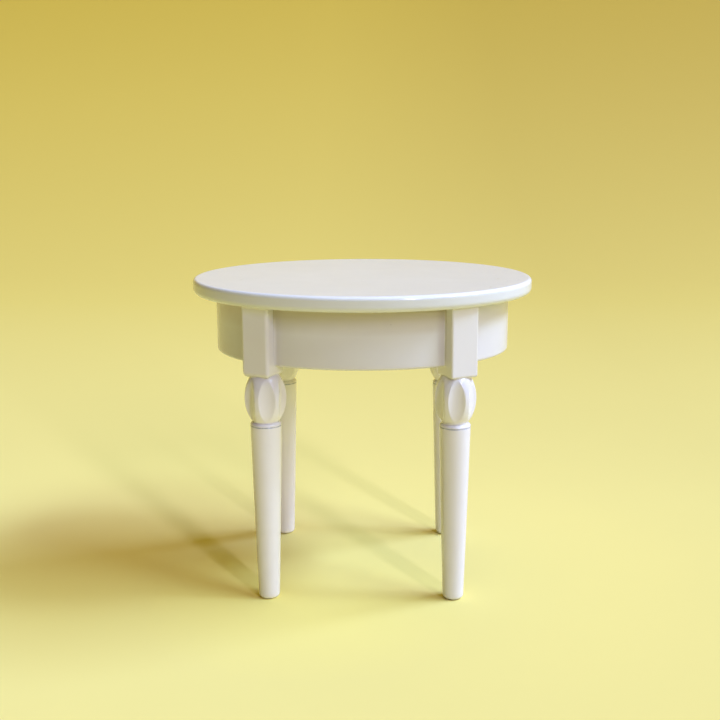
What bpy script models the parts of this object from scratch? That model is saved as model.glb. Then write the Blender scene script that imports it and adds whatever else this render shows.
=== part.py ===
"""Miniature dining table for a dolls' house, about 1:12 scale.

An oval top with a rounded edge sits on a curved apron of four rails. The
rails are pegged into the square heads of four turned legs. Below its square
head each leg has an egg with six carved hollows, a short neck and a tapered
shank.

Units are metres, +Z is up, the long axis of the oval lies along X and the
front is -Y. The origin is on the floor under the middle of the top.
"""

import math
from collections import namedtuple

import bmesh
import bpy
from mathutils import Vector

MM = 0.001

# ------------------------------------------------------------ overall sizes
HEIGHT = 63.0 * MM               # floor to the top face
GAP = 0.05 * MM                  # glue line between pieces that touch
MERGE_DISTANCE = 0.01 * MM       # points closer than this are joined

# ---------------------------------------------------------------------- top
TOP_HALF_LONG = 35.0 * MM
TOP_HALF_WIDE = 29.0 * MM
TOP_THICK = 3.1 * MM
TOP_ROUND_LOW = 1.15 * MM        # rounding under the edge
TOP_ROUND_HIGH = 0.85 * MM       # rounding over the edge
TOP_SIDES = 88
TOP_UNDER = HEIGHT - TOP_THICK

# -------------------------------------------------------------------- apron
APRON_HALF_LONG = 30.3 * MM      # to the outer face
APRON_HALF_WIDE = 24.7 * MM
APRON_LOW = 48.2 * MM            # height of the rails' lower edge
RAIL_THICK = 2.8 * MM
RAIL_ROUND = 0.35 * MM

# ---------------------------------------------------- square heads of the legs
LEG_X = 18.6 * MM                # leg axes
LEG_Y = 18.8 * MM
HEAD_SIDE = 6.2 * MM
HEAD_LOW = 45.95 * MM
HEAD_HIGH = TOP_UNDER - GAP
HEAD_TURN = math.radians(34.2)   # from Y to the outer face's normal, along the oval's own
HEAD_ROUND_SIDE = 0.45 * MM
HEAD_ROUND_LOW = 0.7 * MM
HEAD_ROOM_EXTRA = 6.0 * MM       # extra reach, in and out, of the cutter for the rail ends

# ------------------------------------------------------------- egg and neck
EGG_RADIUS = 4.08 * MM           # widest radius
EGG_HALF = 6.1 * MM              # half height of the full egg, before its ends are cut
EGG_MID = 41.6 * MM              # height of the widest place
EGG_TOP = 46.12 * MM             # the egg starts just inside the head
EGG_LOW = 36.9 * MM
EGG_STEPS = 10
CORE_INSET = 0.15 * MM           # the core in the head is this much inside the egg's top
CORE_HIGH = HEAD_LOW + 1.2 * MM
CORE_LOW = HEAD_LOW + 0.35 * MM
NECK_RADIUS = 2.4 * MM
NECK_DROP = 0.08 * MM            # from the egg's low end to the neck
NECK_SINK = 1.0 * MM             # how far the neck runs down into the shank

# ------------------------------------------------------------ carved hollows
HOLLOWS = 6                      # round each egg
HOLLOW_MID = 41.4 * MM
HOLLOW_HALF = 4.3 * MM           # half height, nearly the whole egg
HOLLOW_DEPTH = 0.78 * MM
HOLLOW_FADE = 1.3                # exponent of the depth's fall towards the tips
HOLLOW_STEPS = 10
CARVER_RADIUS = 3.1 * MM         # radius of the rod that carves a hollow
CARVER_RESOLUTION = 9
SLOPE_STEP = 0.01 * MM           # height step for measuring the egg's slope

# -------------------------------------------------------------------- shank
SHANK_TOP = 36.72 * MM
SHANK_TOP_RADIUS = 3.08 * MM
SHANK_FOOT_RADIUS = 2.12 * MM
SHANK_SHOULDER = 0.58 * MM       # rounding of the shoulder
FOOT_ROUND = 0.85 * MM
ARC_STEPS = 4
TURN_STEPS = 26

# --------------------------------------------------------------------- pegs
PEG_RADIUS = 0.6 * MM            # between rails and heads
PEG_DEPTH_HEAD = 1.7 * MM
PEG_DEPTH_RAIL = 1.8 * MM
PEG_HEIGHT = 54.2 * MM
PIN_RADIUS = 0.75 * MM           # between heads and top
PIN_UP = 1.5 * MM
PIN_DOWN = 2.6 * MM
PEG_PLAY = 0.06 * MM             # radial room round a peg
PEG_END_PLAY = 0.15 * MM
PEG_SIDES = 14
SOCKET_OVERRUN = 1.0 * MM        # how far a socket's cutter stands out of its piece
RAIL_SOCKET_OVERRUN = 0.6 * MM   # the same, from the head's side face
SEARCH_REACH = 6.0 * MM          # range and halvings of the search for the apron's face
SEARCH_HALVINGS = 50

# -------------------------------------------------- glue blocks inside the rails
BLOCK_LONG = 9.0 * MM
BLOCK_DEEP = 3.0 * MM
BLOCK_TALL = 3.4 * MM
BLOCK_ROUND = 0.3 * MM

# ------------------------------------------------------------ legs and rails
# Side in X, side in Y, and the turn of the first hollow,
# counter-clockwise from the front as seen from above.
Leg = namedtuple("Leg", "side_x side_y hollow_turn")
LEGS = {
    "front_left": Leg(-1, -1, math.radians(10.0)),
    "front_right": Leg(1, -1, math.radians(1.5)),
    "back_left": Leg(-1, 1, math.radians(24.0)),
    "back_right": Leg(1, 1, math.radians(-14.0)),
}

# Each rail runs counter-clockwise, seen from above, from its first leg to
# its second, in a number of steps. The last column points outwards.
Rail = namedtuple("Rail", "start_leg end_leg steps outward")
RAILS = {
    "front": Rail("front_left", "front_right", 24, (0, -1, 0)),
    "back": Rail("back_right", "back_left", 24, (0, 1, 0)),
    "left": Rail("back_left", "front_left", 22, (-1, 0, 0)),
    "right": Rail("front_right", "back_right", 22, (1, 0, 0)),
}

# ------------------------------------------------- clean scene, collections
for old in list(bpy.data.objects):
    bpy.data.objects.remove(old, do_unlink=True)

parts = bpy.data.collections.new("miniature_dining_table")
cutters = bpy.data.collections.new("cutters")
bpy.context.scene.collection.children.link(parts)
bpy.context.scene.collection.children.link(cutters)

table = bpy.data.objects.new("table_root", None)
table.empty_display_size = 0.02
parts.objects.link(table)


# ---------------------------------------------------------------- materials
def make_material(name, colour, roughness):
    material = bpy.data.materials.new(name)
    material.use_nodes = True
    shader = material.node_tree.nodes["Principled BSDF"]
    shader.inputs["Base Color"].default_value = (*colour, 1.0)
    shader.inputs["Roughness"].default_value = roughness
    material.diffuse_color = (*colour, 1.0)
    return material


TOP_PAINT = make_material("top_ivory_lacquer", colour=(0.80, 0.78, 0.71), roughness=0.22)
RAIL_PAINT = make_material("rail_ivory_lacquer", colour=(0.79, 0.77, 0.69), roughness=0.26)
LEG_PAINT = make_material("leg_ivory_lacquer", colour=(0.79, 0.77, 0.70), roughness=0.28)
PEG_WOOD = make_material("peg_bare_beech", colour=(0.62, 0.45, 0.29), roughness=0.65)
BLOCK_WOOD = make_material("block_ivory_lacquer", colour=(0.74, 0.71, 0.62), roughness=0.45)


# ------------------------------------------------------- objects and meshes
def new_piece(name, mesh, material):
    """A visible piece of the table."""
    obj = bpy.data.objects.new(name, mesh)
    parts.objects.link(obj)
    obj.parent = table
    mesh.materials.append(material)
    return obj


def new_helper(name, mesh, material=None):
    """A hidden object that a boolean cuts with or joins on."""
    obj = bpy.data.objects.new(name, mesh)
    cutters.objects.link(obj)
    if material is not None:
        mesh.materials.append(material)
    obj.hide_render = True
    obj.display_type = "WIRE"
    return obj


def finish_mesh(form, name):
    """Turn an edited form into a mesh."""
    mesh = bpy.data.meshes.new(name)
    form.to_mesh(mesh)
    form.free()
    return mesh


def box_form(size_x, size_y, size_z):
    """A box centred on its own origin."""
    form = bmesh.new()
    bmesh.ops.create_cube(form, size=1.0)
    bmesh.ops.scale(form, vec=(size_x, size_y, size_z), verts=form.verts)
    return form


def raise_extrusion(form, grown, height):
    """Lift the new points of an extrusion."""
    raised = [item for item in grown["geom"] if isinstance(item, bmesh.types.BMVert)]
    bmesh.ops.translate(form, vec=(0, 0, height), verts=raised)
    bmesh.ops.recalc_face_normals(form, faces=form.faces)


def smooth(obj, angle=35.0):
    """Smooth shading, sharp at edges over an angle in degrees."""
    obj.data.shade_smooth()
    obj.data.set_sharp_from_angle(angle=math.radians(angle))


# ---------------------------------------------------------------- modifiers
def boolean(obj, other, operation="DIFFERENCE"):
    modifier = obj.modifiers.new(f"{operation.lower()}_{other.name}", "BOOLEAN")
    modifier.operation = operation
    modifier.solver = "EXACT"
    modifier.object = other


def weighted_bevel(obj, width):
    bevel = obj.modifiers.new("rounded_edges", "BEVEL")
    bevel.limit_method = "WEIGHT"
    bevel.width = width
    bevel.segments = 3
    bevel.use_clamp_overlap = True


def ease_edges(obj, width):
    bevel = obj.modifiers.new("eased_edges", "BEVEL")
    bevel.limit_method = "ANGLE"
    bevel.width = width
    bevel.segments = 2
    return bevel


def turn_on_lathe(obj):
    """Turn a line of edges round Z."""
    screw = obj.modifiers.new("turning", "SCREW")
    screw.axis = "Z"
    screw.angle = math.tau
    screw.steps = TURN_STEPS
    screw.render_steps = TURN_STEPS
    screw.use_merge_vertices = True
    screw.merge_threshold = MERGE_DISTANCE
    screw.use_smooth_shade = True


# --------------------------------------------------------- pegs and sockets
def rod_mesh(name, radius, length):
    """A closed cylinder along Z, centred on its own origin."""
    form = bmesh.new()
    bmesh.ops.create_cone(form, cap_ends=True, cap_tris=False, segments=PEG_SIDES,
                          radius1=radius, radius2=radius, depth=length)
    return finish_mesh(form, name)


def lay_rod(obj, start, direction, back, ahead):
    """Lay a rod from `back` behind the start point to `ahead` in front of it."""
    obj.location = start + direction * ((ahead - back) / 2)
    obj.rotation_euler = direction.to_track_quat("Z", "Y").to_euler()


def build_peg(name, start, direction, back, ahead, radius):
    obj = new_piece(name, rod_mesh(name, radius, back + ahead), PEG_WOOD)
    lay_rod(obj, start, direction, back, ahead)
    smooth(obj)


def cut_socket(obj, name, start, direction, back, ahead, peg_radius):
    """Cut the room for a peg into a piece."""
    cutter = new_helper(name, rod_mesh(name, peg_radius + PEG_PLAY, back + ahead))
    lay_rod(cutter, start, direction, back, ahead)
    boolean(obj, cutter)


# ----------------------------------------------------------- places of legs
UP = Vector((0, 0, 1))


def leg_place(leg):
    return Vector((LEGS[leg].side_x * LEG_X, LEGS[leg].side_y * LEG_Y, 0.0))


def leg_outward(leg):
    """Outward normal of the head's outer face."""
    return Vector((LEGS[leg].side_x * math.sin(HEAD_TURN),
                   LEGS[leg].side_y * math.cos(HEAD_TURN), 0.0))


def head_angle(leg):
    outward = leg_outward(leg)
    return math.atan2(outward.y, outward.x)


def pin_start(leg):
    """Where the peg into the top crosses the top's underside."""
    return leg_place(leg) + UP * TOP_UNDER


# ---------------------------------------------------------- places of pegs
def side_towards_rail(leg, rail):
    """Normal of the head's side face that a rail meets.

    The front and back rails meet the sides that look towards the middle
    in X, the left and right rails meet the sides that look that way in Y.
    """
    outward = leg_outward(leg)
    side = Vector((-outward.y, outward.x, 0.0))
    if RAILS[rail].outward[0] == 0:
        wanted = Vector((-LEGS[leg].side_x, 0.0, 0.0))
    else:
        wanted = Vector((0.0, -LEGS[leg].side_y, 0.0))
    if side.dot(wanted) < 0:
        side.negate()
    return side


def outside_apron(point):
    return (point.x / APRON_HALF_LONG) ** 2 + (point.y / APRON_HALF_WIDE) ** 2 > 1.0


def peg_axis(leg, rail):
    """Where a peg leaves the head's side face, and the way it points into the rail."""
    side = side_towards_rail(leg, rail)
    outward = leg_outward(leg)
    half_peg = side * (PEG_DEPTH_RAIL * 0.5)
    middle = leg_place(leg) + side * (HEAD_SIDE / 2) + half_peg
    # halve the range along the head's outward normal down to the apron's outer face
    near, far = -SEARCH_REACH, SEARCH_REACH
    for _ in range(SEARCH_HALVINGS):
        trial = (near + far) / 2
        if outside_apron(middle + outward * trial):
            far = trial
        else:
            near = trial
    start = middle + outward * (near - RAIL_THICK / 2) - half_peg
    start.z = PEG_HEIGHT
    return start, side


Peg = namedtuple("Peg", "name leg rail start direction")
RAIL_PEGS = [Peg(f"rail_peg_{rail}_to_{leg}", leg, rail, *peg_axis(leg, rail))
             for rail in RAILS
             for leg in LEGS if leg in (RAILS[rail].start_leg, RAILS[rail].end_leg)]


# ----------------------------------------------------------- leg: profiles
def arc_points(centre_radius, centre_z, arc_radius, start, end):
    """Points of an arc in the profile plane, angles from the +X direction."""
    angles = [start + (end - start) * i / ARC_STEPS for i in range(ARC_STEPS + 1)]
    return [(centre_radius + arc_radius * math.cos(angle),
             centre_z + arc_radius * math.sin(angle)) for angle in angles]


def egg_radius(z):
    level = (z - EGG_MID) / EGG_HALF
    return EGG_RADIUS * math.sqrt(max(0.0, 1.0 - level * level))


def egg_profile():
    """The egg, running up into the head, and the neck that ends inside the shank."""
    core_radius = egg_radius(EGG_TOP) - CORE_INSET
    heights = [EGG_TOP + (EGG_LOW - EGG_TOP) * i / EGG_STEPS for i in range(EGG_STEPS + 1)]
    neck_end = SHANK_TOP - NECK_SINK
    return [
        (0.0, CORE_HIGH),
        (core_radius, CORE_HIGH),
        (core_radius, CORE_LOW),
        *((egg_radius(z), z) for z in heights),
        (NECK_RADIUS, EGG_LOW - NECK_DROP),
        (NECK_RADIUS, neck_end),
        (0.0, neck_end),
    ]


def shank_profile():
    """The tapered shank, from its rounded shoulder down to the rounded foot."""
    return [
        (0.0, SHANK_TOP),
        *arc_points(SHANK_TOP_RADIUS - SHANK_SHOULDER, SHANK_TOP - SHANK_SHOULDER,
                    SHANK_SHOULDER, start=math.radians(90.0), end=0.0),
        *arc_points(SHANK_FOOT_RADIUS - FOOT_ROUND, FOOT_ROUND,
                    FOOT_ROUND, start=0.0, end=math.radians(-90.0)),
        (0.0, 0.0),
    ]


def profile_mesh(name, profile):
    """The profile as a line of edges, ready for turning."""
    form = bmesh.new()
    verts = [form.verts.new((radius, 0.0, z)) for radius, z in profile]
    for upper, lower in zip(verts, verts[1:]):
        form.edges.new((upper, lower))
    return finish_mesh(form, name)


# --------------------------------------------------- leg: head and hollows
def head_mesh():
    """The square head: a box with eased uprights and a rounder lower edge."""
    form = box_form(HEAD_SIDE, HEAD_SIDE, HEAD_HIGH - HEAD_LOW)
    bmesh.ops.translate(form, vec=(0, 0, (HEAD_HIGH + HEAD_LOW) / 2), verts=form.verts)
    weight = form.edges.layers.float.new("bevel_weight_edge")
    lowest = min(vert.co.z for vert in form.verts)
    for edge in form.edges:
        z_first, z_second = (vert.co.z for vert in edge.verts)
        if abs(z_first - z_second) > 1e-6:
            edge[weight] = HEAD_ROUND_SIDE / HEAD_ROUND_LOW
        elif abs(z_first - lowest) < 1e-6:
            edge[weight] = 1.0
    return finish_mesh(form, "leg_head")


def carver_station(level):
    """Radius and height of a carving rod's axis; level runs from -1 to 1."""
    z = HOLLOW_MID + HOLLOW_HALF * level
    depth = HOLLOW_DEPTH * (1.0 - level * level) ** HOLLOW_FADE
    rise = egg_radius(z + SLOPE_STEP) - egg_radius(z - SLOPE_STEP)
    slope = rise / (2 * SLOPE_STEP)
    lean = math.hypot(1.0, slope)
    away = CARVER_RADIUS - depth
    return egg_radius(z) + away / lean, z - away * slope / lean


def hollow_cutter(leg):
    """Six bowed rods whose inner sides carve the hollows of one egg.

    Each rod follows the egg, dips into it by HOLLOW_DEPTH at the middle and
    leaves it at a tangent, so a hollow narrows to a tip above and below.
    """
    name = f"hollows_{leg}"
    path = bpy.data.curves.new(name + "_path", "CURVE")
    path.dimensions = "3D"
    path.bevel_depth = CARVER_RADIUS
    path.bevel_resolution = CARVER_RESOLUTION
    path.resolution_u = 1
    path.use_fill_caps = True
    for k in range(HOLLOWS):
        angle = -math.pi / 2 + LEGS[leg].hollow_turn + k * 2 * math.pi / HOLLOWS
        spline = path.splines.new("POLY")
        spline.points.add(HOLLOW_STEPS)
        for i, point in enumerate(spline.points):
            radius, z = carver_station(-1.0 + 2.0 * i / HOLLOW_STEPS)
            point.co = (radius * math.cos(angle), radius * math.sin(angle), z, 1.0)

    # the rods become one plain mesh with closed ends
    curve = bpy.data.objects.new(name + "_curve", path)
    cutters.objects.link(curve)
    bpy.context.view_layer.update()
    graph = bpy.context.evaluated_depsgraph_get()
    mesh = bpy.data.meshes.new_from_object(curve.evaluated_get(graph))
    mesh.name = name
    form = bmesh.new()
    form.from_mesh(mesh)
    bmesh.ops.remove_doubles(form, verts=form.verts, dist=MERGE_DISTANCE)
    bmesh.ops.recalc_face_normals(form, faces=form.faces)
    form.to_mesh(mesh)
    form.free()
    bpy.data.objects.remove(curve, do_unlink=True)

    cutter = new_helper(name, mesh)
    cutter.location = leg_place(leg)
    return cutter


# --------------------------------------------------------------------- legs
def build_leg(leg):
    """The turned egg, carved, then joined to its shank and head and drilled."""
    place = leg_place(leg)
    obj = new_piece(f"leg_{leg}", profile_mesh("leg_egg", egg_profile()), LEG_PAINT)
    obj.location = place
    turn_on_lathe(obj)
    boolean(obj, hollow_cutter(leg))

    shank = new_helper(f"shank_{leg}", profile_mesh("leg_shank", shank_profile()), LEG_PAINT)
    shank.location = place
    turn_on_lathe(shank)
    boolean(obj, shank, "UNION")

    head = new_helper(f"head_{leg}", head_mesh(), LEG_PAINT)
    weighted_bevel(head, HEAD_ROUND_LOW)
    head.location = place
    head.rotation_euler = (0.0, 0.0, head_angle(leg))
    boolean(obj, head, "UNION")

    for peg in RAIL_PEGS:
        if peg.leg == leg:
            cut_socket(obj, f"socket_{peg.name}", peg.start, peg.direction,
                       back=PEG_DEPTH_HEAD + PEG_END_PLAY, ahead=SOCKET_OVERRUN,
                       peg_radius=PEG_RADIUS)
    cut_socket(obj, f"socket_top_peg_{leg}", pin_start(leg), UP,
               back=PIN_DOWN + PEG_END_PLAY, ahead=SOCKET_OVERRUN, peg_radius=PIN_RADIUS)
    smooth(obj)


# ---------------------------------------------------------------------- top
def top_mesh():
    """The oval board; its two rims carry bevel weights for their roundings."""
    form = bmesh.new()
    bmesh.ops.create_circle(form, cap_ends=True, cap_tris=False, segments=TOP_SIDES,
                            radius=1.0)
    bmesh.ops.scale(form, vec=(TOP_HALF_LONG, TOP_HALF_WIDE, 1.0), verts=form.verts)
    bmesh.ops.translate(form, vec=(0, 0, TOP_UNDER), verts=form.verts)
    grown = bmesh.ops.extrude_face_region(form, geom=form.faces[:])
    raise_extrusion(form, grown, HEIGHT - TOP_UNDER)
    weight = form.edges.layers.float.new("bevel_weight_edge")
    middle = (TOP_UNDER + HEIGHT) / 2
    for edge in form.edges:
        z_first, z_second = (vert.co.z for vert in edge.verts)
        if abs(z_first - z_second) < 1e-7:
            edge[weight] = TOP_ROUND_HIGH / TOP_ROUND_LOW if z_first > middle else 1.0
    return finish_mesh(form, "table_top")


def build_top():
    top = new_piece("table_top", top_mesh(), TOP_PAINT)
    weighted_bevel(top, TOP_ROUND_LOW)
    for leg in LEGS:
        cut_socket(top, f"top_socket_{leg}", pin_start(leg), UP,
                   back=SOCKET_OVERRUN, ahead=PIN_UP + PEG_END_PLAY, peg_radius=PIN_RADIUS)
    smooth(top, angle=40.0)


# -------------------------------------------------------------------- rails
def oval_angle(leg):
    """Parameter of the apron's oval at the leg's axis, from 0 to a full turn."""
    place = leg_place(leg)
    return math.atan2(place.y / APRON_HALF_WIDE, place.x / APRON_HALF_LONG) % math.tau


def rail_sheet(name, start, end, steps):
    """The rail's outer face: an arc of the oval drawn upwards."""
    form = bmesh.new()
    angles = [start + (end - start) * i / steps for i in range(steps + 1)]
    verts = [form.verts.new((APRON_HALF_LONG * math.cos(angle),
                             APRON_HALF_WIDE * math.sin(angle), APRON_LOW))
             for angle in angles]
    edges = [form.edges.new(pair) for pair in zip(verts, verts[1:])]
    grown = bmesh.ops.extrude_edge_only(form, edges=edges)
    raise_extrusion(form, grown, HEAD_HIGH - APRON_LOW)
    # the faces have to look outwards, because the thickness is added inwards
    face = form.faces[:][0]
    centre = face.calc_center_median()
    if face.normal.dot(Vector((centre.x, centre.y, 0.0))) < 0:
        bmesh.ops.reverse_faces(form, faces=form.faces)
    return finish_mesh(form, name)


def head_room(leg):
    """A box one glue line wider than the head, that shapes the rails' ends."""
    name = f"head_room_{leg}"
    side = HEAD_SIDE + 2 * GAP
    form = box_form(side + HEAD_ROOM_EXTRA, side, HEIGHT - HEAD_LOW)
    obj = new_helper(name, finish_mesh(form, name))
    obj.location = leg_place(leg) + UP * ((HEIGHT + HEAD_LOW) / 2)
    obj.rotation_euler = (0.0, 0.0, head_angle(leg))
    return obj


def build_rail(rail, rooms):
    start_leg, end_leg, steps, _ = RAILS[rail]
    start = oval_angle(start_leg)
    end = oval_angle(end_leg)
    if end < start:
        end += math.tau
    name = f"apron_rail_{rail}"
    obj = new_piece(name, rail_sheet(name, start, end, steps), RAIL_PAINT)
    solid = obj.modifiers.new("thickness", "SOLIDIFY")
    solid.thickness = RAIL_THICK
    solid.offset = -1.0
    solid.use_even_offset = True
    bevel = ease_edges(obj, RAIL_ROUND)
    bevel.angle_limit = math.radians(60.0)
    for leg in (start_leg, end_leg):
        boolean(obj, rooms[leg])
    for peg in RAIL_PEGS:
        if peg.rail == rail:
            cut_socket(obj, f"rail_{peg.name}", peg.start, peg.direction,
                       back=RAIL_SOCKET_OVERRUN, ahead=PEG_DEPTH_RAIL + PEG_END_PLAY,
                       peg_radius=PEG_RADIUS)
    smooth(obj, angle=40.0)


# -------------------------------------------------------------- glue blocks
def build_glue_block(rail):
    """A short block glued under the top, against the inner face of a rail."""
    outward = RAILS[rail].outward
    if outward[0] == 0:
        reach, half_span = APRON_HALF_WIDE, APRON_HALF_LONG
    else:
        reach, half_span = APRON_HALF_LONG, APRON_HALF_WIDE
    name = f"glue_block_{rail}"
    form = box_form(BLOCK_DEEP, BLOCK_LONG, BLOCK_TALL)
    obj = new_piece(name, finish_mesh(form, name), BLOCK_WOOD)
    # the block's ends touch first, where the rail curves in by the sag
    curve_radius = half_span ** 2 / reach
    sag = BLOCK_LONG ** 2 / (8 * (curve_radius - RAIL_THICK))
    distance = reach - RAIL_THICK - sag - GAP - BLOCK_DEEP / 2
    obj.location = Vector(outward) * distance + UP * (HEAD_HIGH - BLOCK_TALL / 2)
    obj.rotation_euler = (0.0, 0.0, math.atan2(outward[1], outward[0]))
    ease_edges(obj, BLOCK_ROUND)


# ---------------------------------------------------------------- the table
for leg in LEGS:
    build_leg(leg)

build_top()

head_rooms = {leg: head_room(leg) for leg in LEGS}
for rail in RAILS:
    build_rail(rail, head_rooms)

for peg in RAIL_PEGS:
    build_peg(peg.name, peg.start, peg.direction,
              back=PEG_DEPTH_HEAD, ahead=PEG_DEPTH_RAIL, radius=PEG_RADIUS)
for leg in LEGS:
    build_peg(f"top_peg_{leg}", pin_start(leg), UP,
              back=PIN_DOWN, ahead=PIN_UP, radius=PIN_RADIUS)

for rail in RAILS:
    build_glue_block(rail)

bpy.context.view_layer.update()
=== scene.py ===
"""Looks for a miniature dining table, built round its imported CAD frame.

An oval top with a rounded edge stands on four curved apron rails and four legs
with square heads and carved eggs, held by glue blocks and pegs. The long axis of
the oval is X, the front faces -Y, right is +X, and the feet stand on z = 0.
Lengths are in metres; MM turns millimetres into metres.
"""

import math
from typing import NamedTuple

import bmesh
import bpy
import numpy as np
from mathutils import Matrix, Vector, noise


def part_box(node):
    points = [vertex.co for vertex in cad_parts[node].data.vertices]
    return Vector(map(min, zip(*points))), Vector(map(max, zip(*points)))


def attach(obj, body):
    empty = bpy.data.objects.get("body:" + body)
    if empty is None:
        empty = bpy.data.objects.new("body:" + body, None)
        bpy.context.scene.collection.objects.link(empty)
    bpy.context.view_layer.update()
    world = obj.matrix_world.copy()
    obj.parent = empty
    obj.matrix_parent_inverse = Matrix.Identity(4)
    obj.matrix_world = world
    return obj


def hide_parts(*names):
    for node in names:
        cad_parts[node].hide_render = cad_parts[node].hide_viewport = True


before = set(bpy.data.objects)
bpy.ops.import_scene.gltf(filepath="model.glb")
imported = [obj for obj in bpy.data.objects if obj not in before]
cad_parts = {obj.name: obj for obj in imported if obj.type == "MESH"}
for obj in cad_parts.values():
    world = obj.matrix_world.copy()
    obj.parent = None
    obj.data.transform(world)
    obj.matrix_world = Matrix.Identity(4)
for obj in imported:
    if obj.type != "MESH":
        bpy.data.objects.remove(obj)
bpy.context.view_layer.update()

MM = 0.001
TAU = math.tau
scene = bpy.context.scene

# ------------------------------------------------------------------ sizes
top_low, top_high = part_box("table_top")
TOP_A, TOP_B = top_high.x, top_high.y            # half axes of the oval
TOP_UNDER, TOP_FACE = top_low.z, top_high.z
TOP_ROUND_LOW, TOP_ROUND_HIGH = 1.15 * MM, 0.80 * MM

RAIL_BOX = {rail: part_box(f"apron_rail_{rail}") for rail in ("front", "back", "left", "right")}
APRON_A = RAIL_BOX["right"][1].x
APRON_B = RAIL_BOX["back"][1].y
APRON_LOW = RAIL_BOX["front"][0].z - 0.12 * MM
RAIL_THICK = 2.8 * MM
RAIL_ROUND = 0.62 * MM
PARE_REACH = 6.0 * MM        # how far from a head a rail's face is pared back

HEAD_TURN = math.radians(34.2)
HEAD_LOW = 45.95 * MM

EGG_RADIUS, EGG_HALF, EGG_MID = 4.08 * MM, 6.1 * MM, 41.6 * MM
EGG_TOP, EGG_LOW = 46.05 * MM, 36.88 * MM
HOLLOW_MID, HOLLOW_HALF = 41.4 * MM, 4.30 * MM
HOLLOW_RADIUS = 3.3 * MM
HOLLOW_DEPTH = 0.80 * MM
HOLLOWS = 6
SECTOR = TAU / HOLLOWS
SHANK_TOP, SHANK_R_TOP, SHANK_R_FOOT = 36.74 * MM, 3.08 * MM, 2.12 * MM
SHANK_SHOULDER, FOOT_ROUND = 0.58 * MM, 0.85 * MM

CLOSE = 0.012 * MM           # room left between pieces that touch
SOCKET_PLAY = 0.05 * MM      # room round a peg in its socket
SOCKET_SPARE = 0.12 * MM     # room past a peg at the closed end of its socket
SOCKET_OPEN = 1.0 * MM       # how far a cutter runs out at the open end
RAIL_SOCKET_OPEN = 0.3 * MM  # the same, in the rails


class Leg(NamedTuple):
    """What differs between the legs, which were shaped by hand."""

    hollow_turn: float    # turn of the first hollow from the front
    upright_round: float  # rounding of the head's uprights
    rim_round: float      # rounding of the head's lower edge
    drop: float           # how far the shoulder sits lower
    side: float           # side of the square head
    shift: float          # sideways shift of the head, along X
    twist: float          # extra turn of the head
    pare: float           # depth the rails are pared beside the head
    pool: float           # reach of the lacquer pooled in the corners
    painted_light_gain: float           # how much lighter the egg and shank are painted: painted light


LEGS = {
    "front_left": Leg(
        hollow_turn=math.radians(10.0), upright_round=0.70 * MM, rim_round=1.05 * MM,
        drop=0.0, side=6.00 * MM, shift=-0.38 * MM, twist=math.radians(8.5),
        pare=0.30 * MM, pool=0.70 * MM, painted_light_gain=1.14),
    "front_right": Leg(
        hollow_turn=math.radians(1.5), upright_round=0.36 * MM, rim_round=0.55 * MM,
        drop=0.20 * MM, side=5.80 * MM, shift=0.36 * MM, twist=math.radians(-7.5),
        pare=0.40 * MM, pool=0.50 * MM, painted_light_gain=1.05),
    "back_left": Leg(
        hollow_turn=math.radians(24.0), upright_round=0.48 * MM, rim_round=0.70 * MM,
        drop=0.05 * MM, side=6.10 * MM, shift=0.0, twist=0.0,
        pare=0.20 * MM, pool=0.50 * MM, painted_light_gain=1.20),
    "back_right": Leg(
        hollow_turn=math.radians(-14.0), upright_round=0.48 * MM, rim_round=0.70 * MM,
        drop=0.12 * MM, side=6.10 * MM, shift=0.0, twist=0.0,
        pare=0.20 * MM, pool=0.50 * MM, painted_light_gain=1.06),
}


def leg_place(leg):
    """The foot of a leg's axis on the floor."""
    low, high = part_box(f"leg_{leg}")
    place = (low + high) / 2
    place.z = 0.0
    return place


LEG_AT = {leg: leg_place(leg) for leg in LEGS}


def head_frame(leg):
    """Where a leg's head stands and which way it faces."""
    place = LEG_AT[leg]
    side_x = 1 if place.x > 0 else -1
    side_y = 1 if place.y > 0 else -1
    facing = math.atan2(side_y * math.cos(HEAD_TURN), side_x * math.sin(HEAD_TURN))
    move = Matrix.Translation(place + Vector((LEGS[leg].shift, 0.0, 0.0)))
    return move @ Matrix.Rotation(facing + LEGS[leg].twist, 4, "Z")


# ---------------------------------------------------------- mesh helpers
def fbm(point, scale, seed):
    """Smooth noise at a point, roughly -1 to 1; scale is in metres."""
    at = Vector((point[0] / scale + seed * 17.3,
                 point[1] / scale - seed * 9.1,
                 point[2] / scale + seed * 5.7))
    return noise.noise(at) * 0.7 + noise.noise(at * 2.1 + Vector((3.1, 8.2, 1.7))) * 0.3


def add_object(name, mesh):
    obj = bpy.data.objects.new(name, mesh)
    scene.collection.objects.link(obj)
    return obj


def bmesh_to_mesh(name, bm):
    mesh = bpy.data.meshes.new(name)
    bm.to_mesh(mesh)
    bm.free()
    return mesh


def ring_solid(name, rings):
    """A closed solid skinned over rings of points; every ring has the same count."""
    count = len(rings[0])
    verts = [tuple(point) for ring in rings for point in ring]
    faces = []
    for i in range(len(rings) - 1):
        here, after = i * count, (i + 1) * count
        for j in range(count):
            k = (j + 1) % count
            faces.append((here + j, after + j, after + k, here + k))
    faces.append(tuple(range(count)))
    last = (len(rings) - 1) * count
    faces.append(tuple(last + j for j in reversed(range(count))))
    mesh = bpy.data.meshes.new(name)
    mesh.from_pydata(verts, [], faces)
    bm = bmesh.new()
    bm.from_mesh(mesh)
    bmesh.ops.recalc_face_normals(bm, faces=bm.faces)
    bm.to_mesh(mesh)
    bm.free()
    return add_object(name, mesh)


def box_bmesh(size, centre):
    bm = bmesh.new()
    bmesh.ops.create_cube(bm, size=1.0)
    bmesh.ops.scale(bm, vec=size, verts=bm.verts)
    bmesh.ops.translate(bm, vec=centre, verts=bm.verts)
    return bm


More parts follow.
